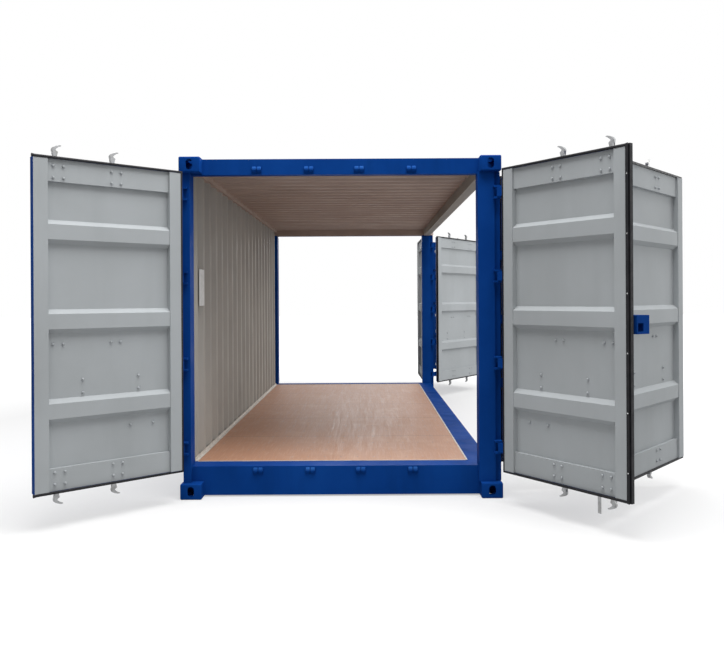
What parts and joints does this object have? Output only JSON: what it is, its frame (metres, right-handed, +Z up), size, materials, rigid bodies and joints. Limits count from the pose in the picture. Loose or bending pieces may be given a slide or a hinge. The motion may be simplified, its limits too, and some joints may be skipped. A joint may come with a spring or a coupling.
{
  "type": "open-side shipping container",
  "caption": "Steel freight container with hinged double doors at both ends, folding doors along one side, corrugated wall and roof, plywood floor and cast corner fittings.",
  "frame": {"origin": "on the ground, at the centre of the four bottom corner apertures", "axes": "+X along the length towards the end seen in the picture, +Y across towards the folding side doors, +Z up"},
  "size_m": [9.4281, 4.6904, 2.591],
  "materials": {
    "blue_frame_paint": "satin",
    "grey_door_paint": "satin",
    "grey_inside_paint": "matte",
    "galvanised_steel": "spangled",
    "black_rubber": "matte",
    "plywood": "worn"
  },
  "bodies": {
    "container": {"cross_members": "blue_frame_paint", "front_cam_keepers": "blue_frame_paint", "front_header": "blue_frame_paint", "front_left_bottom_casting": "blue_frame_paint", "front_left_post": "blue_frame_paint", "front_left_top_casting": "blue_frame_paint", "front_right_bottom_casting": "blue_frame_paint", "front_right_post": "blue_frame_paint", "front_right_top_casting": "blue_frame_paint", "front_side_first_leaf": "grey_door_paint", "front_side_fold_hinges": "blue_frame_paint", "front_side_gaskets": "black_rubber", "front_side_lock_gear": "galvanised_steel", "front_side_second_leaf": "grey_door_paint", "front_sill": "blue_frame_paint", "left_bottom_rail": "blue_frame_paint", "left_top_rail": "blue_frame_paint", "left_wall": "grey_inside_paint", "plywood_floor": "plywood", "rear_cam_keepers": "blue_frame_paint", "rear_header": "blue_frame_paint", "rear_left_bottom_casting": "blue_frame_paint", "rear_left_post": "blue_frame_paint", "rear_left_top_casting": "blue_frame_paint", "rear_right_bottom_casting": "blue_frame_paint", "rear_right_post": "blue_frame_paint", "rear_right_top_casting": "blue_frame_paint", "rear_side_first_leaf": "grey_door_paint", "rear_side_fold_hinges": "blue_frame_paint", "rear_side_gaskets": "black_rubber", "rear_side_lock_gear": "galvanised_steel", "rear_side_second_leaf": "grey_door_paint", "rear_sill": "blue_frame_paint", "right_bottom_rail": "blue_frame_paint", "right_top_rail": "blue_frame_paint", "roof": "grey_inside_paint", "threshold_plates": "blue_frame_paint"},
    "front_left_door": {"front_left_door": "grey_door_paint", "front_left_door_gasket": "black_rubber", "front_left_lock_gear": "galvanised_steel"},
    "front_right_door": {"front_right_door": "grey_door_paint", "front_right_door_gasket": "black_rubber", "front_right_lock_gear": "galvanised_steel", "lock_box": "blue_frame_paint", "door_holdback": "galvanised_steel"},
    "rear_left_door": {"rear_left_door": "grey_door_paint", "rear_left_door_gasket": "black_rubber", "rear_left_lock_gear": "galvanised_steel"},
    "rear_right_door": {"rear_right_door": "grey_door_paint", "rear_right_door_gasket": "black_rubber", "rear_right_lock_gear": "galvanised_steel"}
  },
  "joints": [
    {"name": "front_left_door_hinge", "type": "hinge", "parent": "container", "child": "front_left_door", "pos_m": [3.008, -1.2, 0], "axis": [0, 0, -1], "range_deg": [-138, 132]},
    {"name": "front_right_door_hinge", "type": "hinge", "parent": "container", "child": "front_right_door", "pos_m": [3.008, 1.2, 0], "axis": [0, 0, 1], "range_deg": [-125, 2]},
    {"name": "rear_left_door_hinge", "type": "hinge", "parent": "container", "child": "rear_left_door", "pos_m": [-3.008, -1.2, 0], "axis": [0, 0, 1], "range_deg": [-138, 132]},
    {"name": "rear_right_door_hinge", "type": "hinge", "parent": "container", "child": "rear_right_door", "pos_m": [-3.008, 1.2, 0], "axis": [0, 0, -1], "range_deg": [-90, 37]}
  ]
}
